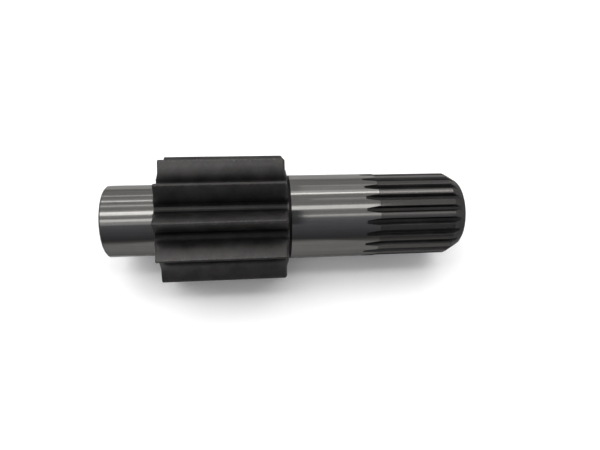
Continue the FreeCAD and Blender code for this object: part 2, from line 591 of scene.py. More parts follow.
@dataclass(frozen=True)
class Relief:
    """The narrow turned groove between a collar and a ground journal."""

    width: float = 1.2
    depth: float = 0.4
    corner: float = 0.4

    def inner_radius(self, journal_radius: float) -> float:
        """Where the collar's face meets the groove beside a journal of this radius."""
        return journal_radius - self.depth + self.corner

    def profile(self, face: float, side: Side, journal_radius: float) -> list[tuple[float, float]]:
        """Outline from the collar's face to the journal's edge.

        Args:
            face: The collar face's distance from the middle of the teeth.
            side: Which side of the gear it is on.
            journal_radius: The journal's radius.

        Returns:
            Pairs of station and radius.
        """
        floor = journal_radius - self.depth
        pairs = bend((0.0, floor + self.corner), (0.0, floor), (self.corner, floor), 4)
        pairs += [(self.width - self.depth, floor), (self.width, journal_radius)]
        return [(side.value * (face + along), radius) for along, radius in pairs]


@dataclass
class ShortEnd:
    """The short ground journal with its end face and centre hole."""

    radius: float = 25.0
    length: float = 36.1
    edge_break: float = 1.0
    edge_softness: float = 0.2
    ring_shares: tuple[float, ...] = (0.33, 0.66, 1.0)
    relief: Relief = field(default_factory=Relief)
    centre: CentreHole = field(default_factory=CentreHole)

    def lay(self, skin: Skin, collar_face: float, toothed: np.ndarray) -> None:
        """Lays the short end into the skin, from its centre hole to the collar.

        Args:
            skin: The skin to add to.
            collar_face: The collar face's distance from the middle of the teeth.
            toothed: The angles of the gear's columns, which the relief's corner has too.
        """
        angles = even_angles(toothed[0])
        end = -(collar_face + self.length)
        for depth, radius in reversed(self.centre.profile()):
            skin.add_ring(end + depth, radius, angles, Finish.FACED)
        skin.add_ring(end, (self.radius + self.centre.mouth_radius) / 2.0, angles, Finish.FACED)
        soft = self.edge_softness
        rim = self.radius - self.edge_break
        slope = 0.7 * soft
        corner = bend((end, rim - soft), (end, rim), (end + slope, rim + slope), 4)
        for index, (station, radius) in enumerate(corner):
            skin.add_ring(station, radius, angles, Finish.HEAT_TREATED if index else Finish.FACED)
        edge = end + self.edge_break
        slope = 0.5 * soft
        brow = bend((edge - slope, self.radius - slope), (edge, self.radius), (edge + 1.5 * slope, self.radius), 4)
        for station, radius in brow:
            skin.add_ring(station, radius, angles, Finish.HEAT_TREATED)
        profile = list(reversed(self.relief.profile(collar_face, Side.SHORT, self.radius)))
        for station in between(brow[-1][0], profile[0][0], self.ring_shares):
            skin.add_ring(station, self.radius, angles, Finish.GROUND)
        # The relief's points carry the darkest painted shade, which darkens the narrow groove by the collar.
        skin.add_ring(*profile[1], angles, Finish.HEAT_TREATED, -1.0)
        for station, radius in profile[2:]:
            skin.add_ring(station, radius, toothed, Finish.HEAT_TREATED, -1.0)


@dataclass
class SplinedEnd:
    """The long ground journal, the hobbed spline with its run-outs, and the lead-in taper.

    The shares place the rings of points along each stretch, and the points down a space's wall and floor. With
    the land's and the corner's points these add up to a spline tooth's 22 columns. The space's wear and painted
    shade go from the middle of a land to the middle of a space: a little wear along the lands' edges, and painted
    shade that darkens the spaces.
    """

    journal_radius: float = 30.0
    journal_length: float = 62.7
    flank: Involute = field(default_factory=lambda: Involute(22, 2.5, 0.8))
    tip_radius: float = 29.6
    root_radius: float = 27.0
    length: float = 52.0
    hob_radius: float = 34.0
    run_out: float = 10.1
    phase: float = math.radians(1.8)
    step_chamfer: float = 0.4
    lead_in_length: float = 9.8
    lead_in_angle: float = math.radians(30.0)
    end_edge_break: float = 0.5
    end_softness: float = 0.6
    edge_softness: float = 0.13
    softest_share: float = 0.35
    flank_reach: float = 2.0
    halvings: int = 40
    land_columns: int = 3
    wall_shares: tuple[float, ...] = (0.75, 0.4, 0.08)
    floor_shares: tuple[float, ...] = (0.86, 0.5, 0.25, 0.0)
    journal_shares: tuple[float, ...] = (0.05, 0.35, 0.65, 0.92)
    run_out_shares: tuple[float, ...] = (0.02, 0.05, 0.1, 0.16, 0.23, 0.31, 0.4, 0.5, 0.6)
    deepening_shares: tuple[float, ...] = (0.33, 0.66, 1.0)
    straight_shares: tuple[float, ...] = (0.25, 0.5, 0.75, 0.995, 1.0)
    taper_shares: tuple[float, ...] = (0.03, 0.15, 0.35, 0.55, 0.75, 0.9, 0.97, 1.0)
    # Negative values are painted shade that darkens the spaces; the small positive ones are wear along the lands'
    # edges.
    half_space_wear_and_shade: tuple[float, ...] = (0.0, 0.0, 0.05, 0.2, 0.0, -0.3, -0.45, -0.52, -0.55, -0.55, -0.55, -0.55)
    relief: Relief = field(default_factory=lambda: Relief(width=1.8))
    centre: CentreHole = field(default_factory=CentreHole)

    @property
    def first_angle(self) -> float:
        """The angle of the first column, which runs along the middle of a land."""
        return self.phase - 2.0 * math.pi / self.flank.teeth

    def surface_radius(self, station: float, start: float) -> float:
        """The turned radius before the splines are cut.

        Args:
            station: Place along X.
            start: Where the spline starts.

        Returns:
            The radius.
        """
        lead_in = start + self.length
        if station <= start - self.step_chamfer:
            return self.journal_radius
        if station <= start:
            share = (start - station) / self.step_chamfer
            return self.tip_radius + (self.journal_radius - self.tip_radius) * share
        return self.tip_radius - max(0.0, station - lead_in) * math.tan(self.lead_in_angle)

    def lifted(self, radius: float, angle: float, offset: float) -> tuple[float, float]:
        """Moves a point of the full-depth section up the hob's circle.

        Args:
            radius: The point's distance from the axis in the full-depth section.
            angle: Its angle from the middle of the space.
            offset: How far before the full-depth station the point is.

        Returns:
            The radius and angle after the move.
        """
        hob_centre = self.root_radius + self.hob_radius
        across = radius * math.sin(angle)
        reach = hob_centre - radius * math.cos(angle)
        height = hob_centre - math.sqrt(max(0.0, reach**2 - offset**2))
        return math.hypot(across, height), math.atan2(across, height)

    def half_space(self, surface: float, offset: float) -> tuple[np.ndarray, np.ndarray]:
        """Half a pitch of the spline, from the middle of a land to the middle of a space.

        Args:
            surface: The turned radius at this station.
            offset: How far before the full-depth station it is.

        Returns:
            Radii, and angles from the middle of the land.
        """
        half_pitch = math.pi / self.flank.teeth
        floor_half = half_pitch - self.flank.half_angle(self.root_radius)

        def wall(radius: float) -> tuple[float, float]:
            """The lifted flank point that had this radius."""
            return self.lifted(radius, half_pitch - self.flank.half_angle(radius), offset)

        low, high = self.root_radius, self.journal_radius + self.flank_reach
        if wall(low)[0] < surface:
            for _ in range(self.halvings):
                middle = (low + high) / 2.0
                low, high = (middle, high) if wall(middle)[0] < surface else (low, middle)
        depth = low - self.root_radius
        soft = min(self.edge_softness, self.softest_share * depth)
        edge = wall(low)
        below = wall(low - soft)
        land = half_pitch - edge[1]
        brow = (surface, edge[1] + soft / surface)
        rounding = bend(brow, (surface, edge[1]), below, 3)
        space = [(surface, edge[1] + land), (surface, edge[1] + land * 0.5)] + rounding
        space += [wall(self.root_radius + (depth - soft) * share) for share in self.wall_shares]
        space += [self.lifted(self.root_radius, floor_half * share, offset) for share in self.floor_shares]
        radii = np.minimum(np.array([point[0] for point in space]), surface)
        angles = half_pitch - np.array([point[1] for point in space])
        return radii, angles

    def spline_ring(self, surface: float, offset: float) -> tuple[np.ndarray, np.ndarray]:
        """One whole section through the spline.

        Args:
            surface: The turned radius at this station.
            offset: How far before the full-depth station it is.

        Returns:
            Radii, and angles from +Z towards +Y.
        """
        radii, angles = self.half_space(surface, offset)
        pitch = 2.0 * math.pi / self.flank.teeth
        one_radii = np.concatenate([radii, radii[-2:0:-1]])
        one_angles = np.concatenate([angles, pitch - angles[-2:0:-1]])
        all_angles = [self.first_angle + one_angles + index * pitch for index in range(self.flank.teeth)]
        return np.tile(one_radii, self.flank.teeth), np.concatenate(all_angles)

    def space_columns(self, land: Finish) -> np.ndarray:
        """The finish of each column where the spaces are cut.

        Args:
            land: The finish of what stands between the spaces.

        Returns:
            One finish a column.
        """
        one = np.full(COLUMNS // self.flank.teeth, land.value)
        one[self.land_columns : -self.land_columns] = Finish.HEAT_TREATED.value
        return np.tile(one, self.flank.teeth)

    def space_wear_and_shade(self) -> np.ndarray:
        """How each column has worn, bright along the lands' edges, and the painted shade that darkens the spaces."""
        half = self.half_space_wear_and_shade
        return np.tile(half + half[-2:0:-1], self.flank.teeth)

    def lay(self, skin: Skin, collar_face: float, toothed: np.ndarray) -> None:
        """Lays the splined end into the skin, from the collar to its centre hole.

        Args:
            skin: The skin to add to.
            collar_face: The collar face's distance from the middle of the teeth.
            toothed: The angles of the gear's columns, which the relief's corner has too.
        """
        plain = even_angles(self.first_angle)
        start = collar_face + self.journal_length
        lead_in = start + self.length
        end = lead_in + self.lead_in_length
        profile = self.relief.profile(collar_face, Side.LONG, self.journal_radius)
        # The relief's points carry the darkest painted shade, which darkens the narrow groove by the collar.
        for station, radius in profile[:-2]:
            skin.add_ring(station, radius, toothed, Finish.HEAT_TREATED, -1.0)
        for station, radius in profile[-2:]:
            skin.add_ring(station, radius, plain, Finish.HEAT_TREATED, -1.0)
        tip = start - self.run_out
        depth = self.journal_radius - self.root_radius
        rise = math.sqrt(2.0 * self.hob_radius * depth - depth**2)
        full = tip + rise
        for station in between(profile[-1][0], tip, self.journal_shares):
            skin.add_ring(station, self.journal_radius, plain, Finish.GROUND)
        angles = self.spline_ring(self.journal_radius, rise - HAIR)[1]
        skin.add_ring(tip, self.journal_radius, angles, Finish.GROUND)
        stations = between(tip, full, self.run_out_shares) + [start - self.step_chamfer, start]
        for station in stations + between(start, full, self.deepening_shares):
            radii, angles = self.spline_ring(self.surface_radius(station, start), full - station)
            on_journal = station <= start - self.step_chamfer + HAIR
            land = Finish.GROUND if on_journal else Finish.TURNED
            skin.add_ring(station, radii, angles, self.space_columns(land), self.space_wear_and_shade())
        grooves_end = lead_in + (self.tip_radius - self.root_radius) / math.tan(self.lead_in_angle)
        straight = between(full, lead_in, self.straight_shares)
        for station in straight + between(lead_in, grooves_end, self.taper_shares):
            radii, angles = self.spline_ring(self.surface_radius(station, start), 0.0)
            land = Finish.HEAT_TREATED if station > lead_in else Finish.TURNED
            skin.add_ring(station, radii, angles, self.space_columns(land), self.space_wear_and_shade())
        broken = self.end_edge_break
        slope = math.tan(self.lead_in_angle)
        rim = self.surface_radius(end, start)
        shoulder = (end - broken, rim + broken * slope)
        before = (shoulder[0] - self.end_softness, shoulder[1] + self.end_softness * slope)
        half = (grooves_end + before[0]) / 2.0
        skin.add_ring(half, self.surface_radius(half, start), angles, Finish.HEAT_TREATED)
        for station, radius in bend(before, shoulder, (end, rim - broken), 5):
            skin.add_ring(station, radius, angles, Finish.HEAT_TREATED)
        skin.add_ring(end, rim - broken - self.end_softness / 2.0, angles, Finish.FACED)
        skin.add_ring(end, (rim + self.centre.mouth_radius) / 2.0, plain, Finish.FACED)
        for inward, radius in self.centre.profile():
            skin.add_ring(end - inward, radius, plain, Finish.FACED)


@dataclass(frozen=True)
class Steel:
    """What the shaft's finishes share: two tones, a roughness that varies a little, and a fine relief.

    The edge tint is how bright the steel is where it is seen nearly edge-on, where clean steel is almost white.
    """

    dark: str
    light: str
    roughness: float
    roughness_spread: tuple[float, float]
    relief_depth: float
    relief_strength: float
    metallic: float = 0.9
    edge_tint: float = 0.5
    anisotropic: float = 0.0

    def close(
        self,
        tree: bpy.types.NodeTree,
        height: bpy.types.NodeSocket,
        dullness: bpy.types.NodeSocket,
        links: dict[str, bpy.types.NodeSocket],
    ) -> None:
        """Closes the material with its relief, its roughness, its shader and its output.

        Args:
            tree: The material's node tree.
            height: The pattern that the relief follows.
            dullness: The pattern that the roughness follows.
            links: What else feeds the shader, such as its colour.
        """
        relief = {"Strength": self.relief_strength, "Distance": self.relief_depth * MM}
        bump = add_node(tree, "ShaderNodeBump", relief, {"Height": height})
        smooth, dull = (self.roughness + spread for spread in self.roughness_spread)
        rough = add_node(tree, "ShaderNodeMapRange", span("To", (smooth, dull)), {"Value": dullness})
        shader = add_node(
            tree,
            "ShaderNodeBsdfPrincipled",
            {"Metallic": self.metallic, "Specular Tint": grey(self.edge_tint), "Anisotropic": self.anisotropic},
            links | {"Roughness": rough.outputs[0], "Normal": bump.outputs[0]},
        )
        add_node(tree, "ShaderNodeOutputMaterial", None, {"Surface": shader.outputs[0]})


@dataclass(frozen=True)
class CloudySteel(Steel):
    """Steel whose tone follows a fine pattern laid over a broad one."""

    fine_share: float = 1.0
    tones: tuple[float, float] = (0.0, 1.0)

    def cloud(
        self, tree: bpy.types.NodeTree, fine: bpy.types.NodeSocket, broad: bpy.types.NodeSocket
    ) -> bpy.types.NodeSocket:
        """Goes from the dark to the light tone by both patterns.

        Args:
            tree: The material's node tree.
            fine: The fine pattern, which counts as much as the fine share says.
            broad: The broad pattern.

        Returns:
            The colour.
        """
        adding = {"operation": "MULTIPLY_ADD", 1: self.fine_share}
        blend = add_node(tree, "ShaderNodeMath", adding, {0: fine, 2: broad})
        tone = add_node(tree, "ShaderNodeMapRange", span("From", self.tones), {"Value": blend.outputs[0]})
        ends = {"data_type": "RGBA", MIX_A: linear_colour(self.dark), MIX_B: linear_colour(self.light)}
        return add_node(tree, "ShaderNodeMix", ends, {0: tone.outputs[0]}).outputs[MIX_RESULT]


@dataclass(frozen=True)
class GroundSteel(CloudySteel):
    """Case-hardened steel ground between centres and then polished along the shaft.

    The polish leaves faint streaks along the journal, so a reflection keeps crisp ends and is a little drawn
    out round the shaft, and the bare steel is the brightest surface of the part. Real grinding lines are less
    than 0.1 mm apart, which is too fine to show, so they are drawn a few times as coarse.
    """

    dark: str = "#7c7b79"
    light: str = "#8d8c89"
    roughness: float = 0.095
    roughness_spread: tuple[float, float] = (-0.02, 0.03)
    relief_depth: float = 0.02
    relief_strength: float = 0.12
    metallic: float = 1.0
    edge_tint: float = 0.45
    anisotropic: float = 0.55
    fine_share: float = 0.4
    tones: tuple[float, float] = (0.4, 1.0)
    line_spacing: float = 0.35
    line_length: float = 1000.0 / 18.0
    stain_size: float = 9.0
    streak_length: float = 70.0
    streak_width: float = 0.9

    def make(self) -> bpy.types.Material:
        """Builds the material."""
        material, tree = empty_material("cylindrically_ground_steel")
        place = {"Vector": add_node(tree, "ShaderNodeTexCoord").outputs["Object"]}
        round_scale = pattern_scale(self.line_length)
        lines_scale = {"Scale": (pattern_scale(self.line_spacing), round_scale, round_scale)}
        lines_map = add_node(tree, "ShaderNodeMapping", lines_scale, place)
        lines = add_node(
            tree,
            "ShaderNodeTexNoise",
            {"Scale": 1.0, "Detail": 3.0, "Roughness": 0.7},
            {"Vector": lines_map.outputs[0]},
        )
        stains_scale = {"Scale": pattern_scale(self.stain_size), "Detail": 4.0, "Roughness": 0.6}
        stains = add_node(tree, "ShaderNodeTexNoise", stains_scale, place)
        across = pattern_scale(self.streak_width)
        streaks_scale = {"Scale": (pattern_scale(self.streak_length), across, across)}
        streaks_map = add_node(tree, "ShaderNodeMapping", streaks_scale, place)
        streaks = add_node(
            tree,
            "ShaderNodeTexNoise",
            {"Scale": 1.0, "Detail": 3.0, "Roughness": 0.65},
            {"Vector": streaks_map.outputs[0]},
        )
        colour = self.cloud(tree, stains.outputs[0], streaks.outputs[0])
        tangent = add_node(tree, "ShaderNodeTangent", {"direction_type": "RADIAL", "axis": "X"})
        links = {"Base Color": colour, "Tangent": tangent.outputs[0]}
        self.close(tree, lines.outputs[0], lines.outputs[0], links)
        return material


@dataclass(frozen=True)
class HeatTreatedSteel(CloudySteel):
    """Alloy steel as it leaves the hardening furnace and the shot blast.

    A thin dark scale with a fine satin grain covers it, so it mirrors lamps only as broad soft bands. The
    scale is cloudy, with a few brown temper stains. Painted shade darkens it down in the roots, on the collars,
    in the reliefs and in the spline's spaces, and it is rubbed through to bright steel along the edges. Real
    blast marks of 0.2 mm are too fine to show, so the grain is drawn about three times as coarse.
    """

    dark: str = "#3e3d3d"
    light: str = "#585756"
    stain: str = "#54473f"
    # The colour of the painted shade that darkens the roots, the collars, the reliefs and the spline's spaces.
    scale: str = "#171717"
    bare: str = "#8f8d8b"
    roughness: float = 0.4
    roughness_spread: tuple[float, float] = (-0.06, 0.06)
    relief_depth: float = 0.05
    relief_strength: float = 0.35
    fine_share: float = 1.2
    tones: tuple[float, float] = (0.2, 1.95)
    grain_size: float = 0.7
    patch_size: float = 12.0
    patch_limits: tuple[float, float] = (0.32, 0.68)
    stain_size: float = 2.4
    stain_limits: tuple[float, float] = (0.57, 0.72)
    stain_strength: float = 0.6
    # How far the darkest painted shade goes towards its colour.
    painted_shade_strength: float = 0.85
    rub_fade: float = 3.0
    nick_size: float = 1.6
    nick_limits: tuple[float, float] = (0.4, 0.7)
    nick_strengths: tuple[float, float] = (0.15, 0.65)
    dent_size: float = 1.1
    dent_limits: tuple[float, float] = (0.68, 0.74)
    dent_strength: float = 0.9

    def make(self) -> bpy.types.Material:
        """Builds the material."""
        material, tree = empty_material("heat_treated_alloy_steel")
        place = {"Vector": add_node(tree, "ShaderNodeTexCoord").outputs["Object"]}
        grain, patches, stains, nicks, dents = (
            add_node(
                tree, "ShaderNodeTexNoise", {"Scale": pattern_scale(size), "Detail": detail, "Roughness": 0.6}, place
            )
            for size, detail in (
                (self.grain_size, 3.0),
                (self.patch_size, 5.0),
                (self.stain_size, 4.0),
                (self.nick_size, 2.0),
                (self.dent_size, 1.0),
            )
        )
        clouds = add_node(tree, "ShaderNodeMapRange", span("From", self.patch_limits), {"Value": patches.outputs[0]})
        temper = add_node(
            tree,
            "ShaderNodeMapRange",
            span("From", self.stain_limits) | {"To Max": self.stain_strength},
            {"Value": stains.outputs[0]},
        )
        wear_and_shade = add_node(tree, "ShaderNodeAttribute", {"attribute_name": WEAR_AND_SHADE}).outputs["Fac"]
        # Painted shade, from the point attribute's values below zero.
        painted_shade = add_node(
            tree, "ShaderNodeMapRange", {"From Max": -1.0, "To Max": self.painted_shade_strength}, {"Value": wear_and_shade}
        )
        edge = add_node(tree, "ShaderNodeMapRange", None, {"Value": wear_and_shade})
        thin = add_node(tree, "ShaderNodeMath", {"operation": "POWER", 1: self.rub_fade}, {0: edge.outputs[0]})
        nicked = add_node(
            tree,
            "ShaderNodeMapRange",
            span("From", self.nick_limits) | span("To", self.nick_strengths),
            {"Value": nicks.outputs[0]},
        )
        worn = add_node(tree, "ShaderNodeMath", {"operation": "MULTIPLY"}, {0: thin.outputs[0], 1: nicked.outputs[0]})
        dented = add_node(
            tree,
            "ShaderNodeMapRange",
            span("From", self.dent_limits) | {"To Max": self.dent_strength},
            {"Value": dents.outputs[0]},
        )
        bright = add_node(tree, "ShaderNodeMath", {"operation": "MULTIPLY"}, {0: edge.outputs[0], 1: dented.outputs[0]})
        bared = add_node(tree, "ShaderNodeMath", {"operation": "MAXIMUM"}, {0: worn.outputs[0], 1: bright.outputs[0]})
        colour = self.cloud(tree, grain.outputs[0], clouds.outputs[0])
        # The stains, then the painted shade, then the bare steel of worn edges go over the colour.
        for shade, share in ((self.stain, temper), (self.scale, painted_shade), (self.bare, bared)):
            over = {"data_type": "RGBA", MIX_B: linear_colour(shade)}
            mixed = add_node(tree, "ShaderNodeMix", over, {0: share.outputs[0], MIX_A: colour})
            colour = mixed.outputs[MIX_RESULT]
        self.close(tree, grain.outputs[0], clouds.outputs[0], {"Base Color": colour})
        return material


@dataclass(frozen=True)
class FacedSteel(CloudySteel):
    """Hardened steel on the two end faces, as the facing tool left it.

    The tool's path shows as soft rings round the centre hole, under the same thin dark scale as on the teeth.
    A real feed of 0.2 mm is too fine to show, so the rings are drawn about four times as coarse.
    """

    dark: str = "#3c3b3a"
    light: str = "#5a5856"
    roughness: float = 0.32
    roughness_spread: tuple[float, float] = (-0.05, 0.08)
    relief_depth: float = 0.06
    relief_strength: float = 0.5
    fine_share: float = 0.5
    tones: tuple[float, float] = (0.5, 1.0)
    feed: float = 0.8
    patch_size: float = 8.0

    def make(self) -> bpy.types.Material:
        """Builds the material."""
        material, tree = empty_material("faced_hardened_steel")
        place = {"Vector": add_node(tree, "ShaderNodeTexCoord").outputs["Object"]}
        across = pattern_scale(self.feed)
        disc = add_node(tree, "ShaderNodeMapping", {"Scale": (0.0, across, across)}, place)
        turns = add_node(tree, "ShaderNodeVectorMath", {"operation": "LENGTH"}, {0: disc.outputs[0]})
        rings = add_node(
            tree,
            "ShaderNodeTexNoise",
            {"noise_dimensions": "1D", "Scale": 1.0, "Detail": 2.0, "Roughness": 0.6},
            {"W": turns.outputs["Value"]},
        )
        patches_scale = {"Scale": pattern_scale(self.patch_size), "Detail": 4.0, "Roughness": 0.6}
        patches = add_node(tree, "ShaderNodeTexNoise", patches_scale, place)
        colour = self.cloud(tree, rings.outputs[0], patches.outputs[0])
        self.close(tree, rings.outputs[0], patches.outputs[0], {"Base Color": colour})
        return material


@dataclass(frozen=True)
class TurnedSteel(Steel):
    """Hardened steel as the lathe left it, on the crests of the spline a little under the journal.

    The tool's feed lines are smoother than the dark scale of the cut spaces, so the crests mirror the lamps as
    narrow bands, duller than the journals do. A real feed of 0.2 mm is too fine to show, so it is drawn three
    times as coarse.
    """

    dark: str = "#565453"
    light: str = "#686664"
    bare: str = "#9a9896"
    bare_strength: float = 0.3
    roughness: float = 0.15
    roughness_spread: tuple[float, float] = (-0.03, 0.03)
    relief_depth: float = 0.03
    relief_strength: float = 0.15
    metallic: float = 0.93
    feed: float = 0.6
    feed_reach: float = 1000.0 / 60.0

    def make(self) -> bpy.types.Material:
        """Builds the material."""
        material, tree = empty_material("turned_hardened_steel")
        place = {"Vector": add_node(tree, "ShaderNodeTexCoord").outputs["Object"]}
        round_scale = pattern_scale(self.feed_reach)
        lines_scale = {"Scale": (pattern_scale(self.feed), round_scale, round_scale)}
        lines_map = add_node(tree, "ShaderNodeMapping", lines_scale, place)
        lines = add_node(
            tree,
            "ShaderNodeTexNoise",
            {"Scale": 1.0, "Detail": 2.0, "Roughness": 0.6},
            {"Vector": lines_map.outputs[0]},
        )
        colour = add_node(
            tree,
            "ShaderNodeMix",
            {"data_type": "RGBA", MIX_A: linear_colour(self.dark), MIX_B: linear_colour(self.light)},
            {0: lines.outputs[0]},
        )
        wear_and_shade = add_node(tree, "ShaderNodeAttribute", {"attribute_name": WEAR_AND_SHADE})
        edge = add_node(tree, "ShaderNodeMapRange", {"To Max": self.bare_strength}, {"Value": wear_and_shade.outputs["Fac"]})
        worn = add_node(
            tree,
            "ShaderNodeMix",
            {"data_type": "RGBA", MIX_B: linear_colour(self.bare)},
            {0: edge.outputs[0], MIX_A: colour.outputs[MIX_RESULT]},
        )
        self.close(tree, lines.outputs[0], lines.outputs[0], {"Base Color": worn.outputs[MIX_RESULT]})
        return material


@dataclass
class PinionShaft:
    """The whole forging: short journal, gear teeth and splined end in one skin."""

    gear: GearTeeth = field(default_factory=GearTeeth)
    short_end: ShortEnd = field(default_factory=ShortEnd)
    splined_end: SplinedEnd = field(default_factory=SplinedEnd)
    ground: GroundSteel = field(default_factory=GroundSteel)
    heat_treated: HeatTreatedSteel = field(default_factory=HeatTreatedSteel)
    turned: TurnedSteel = field(default_factory=TurnedSteel)
    faced: FacedSteel = field(default_factory=FacedSteel)
    weld_distance: float = 0.004

    def build(self) -> bpy.types.Object:
        """Builds the skin and joins it to the frame.

        Returns:
            The finished piece.
        """
        skin = Skin()
        short, long = self.short_end, self.splined_end
        inner_radii = (short.relief.inner_radius(short.radius), long.relief.inner_radius(long.journal_radius))
        toothed = self.gear.outline(0.0)[1]
        short.lay(skin, self.gear.collar_face, toothed)
        self.gear.lay(skin, inner_radii)
        long.lay(skin, self.gear.collar_face, toothed)
        piece = skin.build("pinion_shaft_skin", self.weld_distance)
        self.dress(piece)
        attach(piece, "root")
        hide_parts(NODE)
        return piece

    def dress(self, piece: bpy.types.Object) -> None:
        """Gives the skin its finishes, in the order of Finish, and its even shading.

        Args:
            piece: The shaft's skin.
        """
        for steel in (self.heat_treated, self.ground, self.turned, self.faced):
            piece.data.materials.append(steel.make())
        shading = piece.modifiers.new("even_shading", "WEIGHTED_NORMAL")
        shading.keep_sharp = True
        Skin.true_up_cylinders(piece)


@dataclass(frozen=True)
class StripLamp:
    """A long soft lamp that runs along the shaft, as the tubes of a workshop ceiling do.

    Its elevation is the angle over the floor before the shaft, past 90 degrees behind it, and its spread is how
    many degrees it takes there. A lamp that isn't mirrored lights the room, and no reflection shows it.
    """

    name: str
    elevation: float
    spread: float
    brightness: float
    start: float
    end: float
    mirrored: bool = True
    distance: float = 1000.0

    def place(self) -> None:
        """Adds the lamp, turned to the shaft."""
        lamp = bpy.data.lights.new(self.name, "AREA")
        lamp.shape = "RECTANGLE"
        lamp.size = (self.end - self.start) * MM
        lamp.size_y = 2.0 * self.distance * math.tan(math.radians(self.spread / 2.0)) * MM
        lamp.energy = POWER_PER_BRIGHTNESS * self.brightness * lamp.size * lamp.size_y
        angle = math.radians(self.elevation)
        outward = Vector((0.0, -math.cos(angle), math.sin(angle)))
        along = Vector((1.0, 0.0, 0.0))
        turn = Matrix((along, outward.cross(along), outward)).transposed()
        middle = outward * self.distance + along * (self.start + self.end) / 2.0
        item = add_object(self.name, lamp)
        item.matrix_world = Matrix.Translation(middle * MM) @ turn.to_4x4()
        item.visible_glossy = self.mirrored


